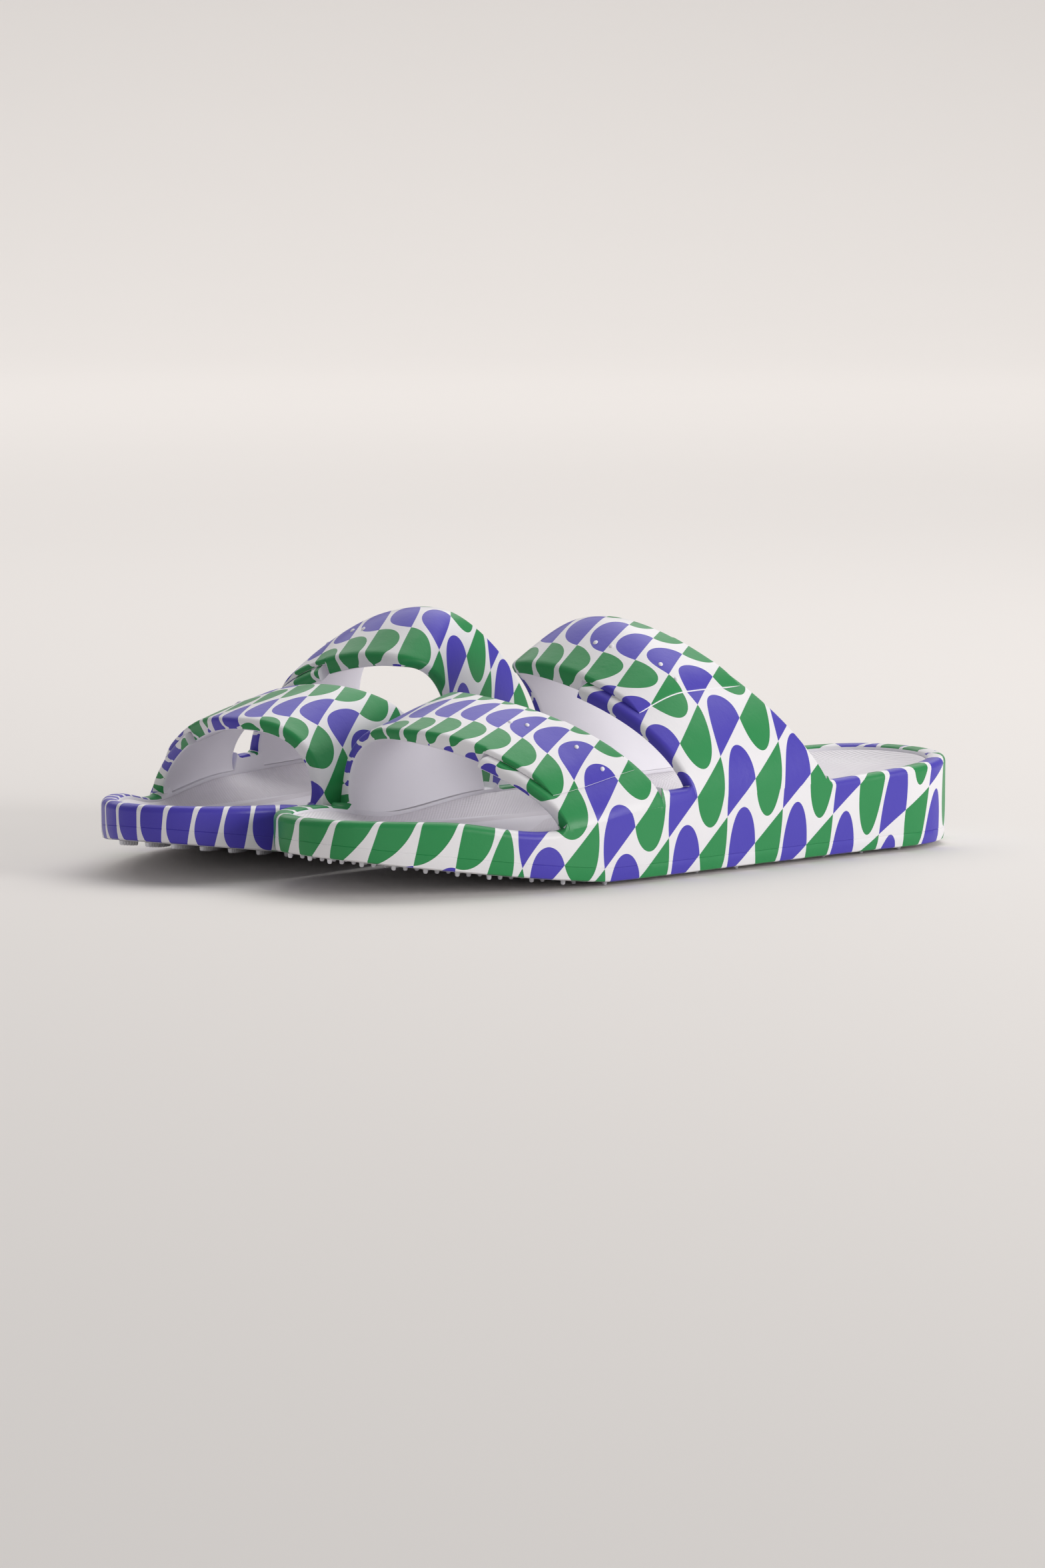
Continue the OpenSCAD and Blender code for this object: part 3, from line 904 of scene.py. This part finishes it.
CAMERA_AZIMUTH, CAMERA_PITCH, CAMERA_DISTANCE = 40.46, 6.02, 1759.3
AIM = (8.4, 7.2, 22.7)
LENS, SENSOR = 182.46, 36
# The sweep is so large that no view of a pose looks from behind its wall
SWEEP_BACK, SWEEP_FRONT, SWEEP_WIDE = 12000, 9000, 9000
SWEEP_ROUND, SWEEP_TALL = 6000, 9000

# Each light: its place ahead of, right of and above the middle as the camera looks, the point
# it aims at (ahead, above), its size, its power in watts and its colour
LIGHTS = {
    "over_light": ((520, 520, 1550), (0, 0), (2000, 1500), 10.5, (1.0, 0.985, 0.975)),
    "side_light": ((-700, 1500, 480), (0, 40), (900, 600), 15, (1.0, 0.99, 0.98)),
    "front_light": ((-2600, 0, 500), (0, 60), (1400, 600), 5.5, (0.98, 0.99, 1.0)),
    "far_light": ((4900, 0, 3300), (5000, 0), (7800, 7800), 232, (1.0, 0.98, 0.965)),
}
WORLD_COLOUR, WORLD_STRENGTH = (0.985, 0.985, 0.985, 1), 0.25


def look_direction():
    azimuth = math.radians(CAMERA_AZIMUTH)
    return Vector((-math.sin(azimuth), math.cos(azimuth), 0))


def floor_material():
    n = Nodes("studio_sweep")
    grain = n.noise(n.place(), 3, 2)
    colour = n.mix(n.between(grain, 0, 0.15), linear(FLOOR), linear(FLOOR_SHADE))
    return n.finish(colour, 1.0, n.bump(n.noise(n.place(), 400, 2), 0.02, 0.1), 0.0)


def studio_floor():
    """A floor that sweeps up into a wall behind the object."""
    ahead = look_direction()
    across = Vector((ahead.y, -ahead.x, 0))
    profile = [(-SWEEP_FRONT, 0), (0, 0), (SWEEP_BACK - SWEEP_ROUND, 0)]
    for k in range(1, 25):
        t = math.radians(90 * k / 24)
        profile.append((SWEEP_BACK - SWEEP_ROUND + SWEEP_ROUND * math.sin(t),
                        SWEEP_ROUND * (1 - math.cos(t))))
    profile.append((SWEEP_BACK, SWEEP_TALL))
    vertices = []
    for away, up in profile:
        for side in (-SWEEP_WIDE, SWEEP_WIDE):
            spot = ahead * away + across * side + Vector((0, 0, up))
            vertices.append(spot * MM)
    faces = [[2 * k, 2 * k + 1, 2 * k + 3, 2 * k + 2] for k in range(len(profile) - 1)]
    mesh = bpy.data.meshes.new("studio_sweep")
    mesh.from_pydata(vertices, [], faces)
    mesh.polygons.foreach_set("use_smooth", [True] * len(faces))
    new_object("studio_sweep", mesh, [floor_material()])


def area_light(name, place_mm, aim_mm, size, power, colour):
    lamp = bpy.data.lights.new(name, "AREA")
    lamp.shape = "RECTANGLE"
    lamp.size, lamp.size_y = size[0] * MM, size[1] * MM
    lamp.energy = power
    lamp.color = colour
    holder = bpy.data.objects.new(name, lamp)
    holder.location = Vector(place_mm) * MM
    aim = Vector(aim_mm) * MM - holder.location
    holder.rotation_euler = aim.to_track_quat("-Z", "Y").to_euler()
    bpy.context.scene.collection.objects.link(holder)


def studio_light():
    ahead = look_direction()
    right = Vector((ahead.y, -ahead.x, 0))
    up = Vector((0, 0, 1))
    for label, (there, aim, size, power, colour) in LIGHTS.items():
        spot = ahead * there[0] + right * there[1] + up * there[2]
        area_light(label, spot, ahead * aim[0] + up * aim[1], size, power, colour)
    world = bpy.data.worlds.new("studio")
    world.use_nodes = True
    back = world.node_tree.nodes["Background"]
    back.inputs["Color"].default_value = WORLD_COLOUR
    back.inputs["Strength"].default_value = WORLD_STRENGTH
    bpy.context.scene.world = world


def camera():
    lens = bpy.data.cameras.new("camera")
    lens.lens = LENS
    lens.sensor_width = SENSOR
    lens.sensor_fit = "HORIZONTAL"
    lens.clip_start, lens.clip_end = 0.05, 50
    eye = bpy.data.objects.new("camera", lens)
    pitch = math.radians(CAMERA_PITCH)
    back = -look_direction() * math.cos(pitch) + Vector((0, 0, math.sin(pitch)))
    eye.location = (Vector(AIM) + back * CAMERA_DISTANCE) * MM
    eye.rotation_euler = (-back).to_track_quat("-Z", "Y").to_euler()
    bpy.context.scene.collection.objects.link(eye)
    bpy.context.scene.camera = eye
    bpy.context.scene.view_settings.view_transform = "Standard"


# ---- The pair ----


def build_slide(name, film, bare, bed, rubber):
    body = name + "_slide"
    shell = [film, bare]
    pieces = {
        "outsole": (outsole(name, [film, rubber]), "outsole_foam"),
        "midsole": (midsole(name, shell), "printed_shell"),
        "footbed": (footbed(name, [bed, bed]), "footbed_foam"),
    }
    for key, strap in STRAPS.items():
        label = "_" + key + "_strap_"
        outer = lower_band(name, label + "outer", strap, shell)
        inner = upper_band(name, label + "inner", strap, shell)
        pieces[key + "_strap_outer_band"] = (outer, "printed_shell")
        pieces[key + "_strap_inner_band"] = (inner, "printed_shell")
    for node, (piece, slot) in pieces.items():
        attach(piece, body)
        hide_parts(name + "_" + node)


camera()
studio_floor()
studio_light()
for side_name in SIDES:
    build_slide(side_name, print_material(), bare_material(), footbed_material(),
                rubber_material())
